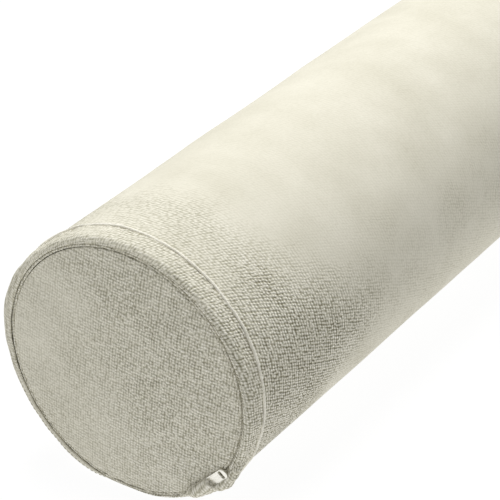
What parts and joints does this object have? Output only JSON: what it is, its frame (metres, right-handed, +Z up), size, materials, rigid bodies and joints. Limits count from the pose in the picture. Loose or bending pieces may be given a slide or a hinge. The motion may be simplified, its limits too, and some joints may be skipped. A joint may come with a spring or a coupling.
{
  "type": "bolster pillow",
  "caption": "Round foam bolster in a woven cover, with a concealed circular zip round one end, a sliding zip slider with a lifting pull tab, and an end panel that folds open.",
  "frame": {"origin": "centre of the bounding box, on the surface the bolster lies on", "axes": "+Z up, Y along the bolster with the zipped end at -Y, +X to the right seen on the zipped end"},
  "size_m": [0.1526, 0.6066, 0.1486],
  "materials": {
    "woven_cover": "matte",
    "sewing_thread": "matte",
    "foam": "matte",
    "wadding": "matte",
    "liner_cloth": "matte",
    "zip_tape": "matte",
    "zip_nylon": "satin",
    "painted_metal": "satin"
  },
  "bodies": {
    "cover": {"foam_core": "foam", "wadding_wrap": "wadding", "wadding_disc_front": "wadding", "wadding_disc_rear": "wadding", "liner_tube": "liner_cloth", "liner_end_front": "liner_cloth", "liner_end_rear": "liner_cloth", "cover_body": "woven_cover", "zip_flap": "woven_cover", "seam_welt": "woven_cover", "front_panel_lower": "woven_cover", "rear_panel": "woven_cover", "rear_seam_binding": "zip_tape", "lip_topstitch": "sewing_thread", "zip_tape_body": "zip_tape", "zip_tape_lower_right": "zip_tape", "zip_tape_lower_left": "zip_tape", "zip_coil_body": "zip_nylon", "zip_coil_lower_right": "zip_nylon", "zip_coil_lower_left": "zip_nylon", "top_stop_body": "zip_nylon", "top_stop_panel": "zip_nylon", "bottom_stop": "zip_nylon"},
    "end_flap": {"front_panel": "woven_cover", "zip_tape_panel": "zip_tape", "zip_coil_panel": "zip_nylon"},
    "slider": {"zip_slider": "painted_metal"},
    "pull": {"pull_tab": "painted_metal"}
  },
  "joints": [
    {"name": "zip_travel", "type": "hinge", "parent": "cover", "child": "slider", "pos_m": [0, -0.3, 0.0723], "axis": [0, -1, 0], "range_deg": [0, 279]},
    {"name": "pull_lift", "type": "hinge", "parent": "slider", "child": "pull", "pos_m": [0.04546, -0.3012, 0.01907], "axis": [0.719, 0, -0.695], "range_deg": [0, 120]},
    {"name": "end_fold", "type": "hinge", "parent": "cover", "child": "end_flap", "pos_m": [0, -0.3024, 0.0383], "axis": [1, 0, 0], "range_deg": [0, 100]}
  ]
}
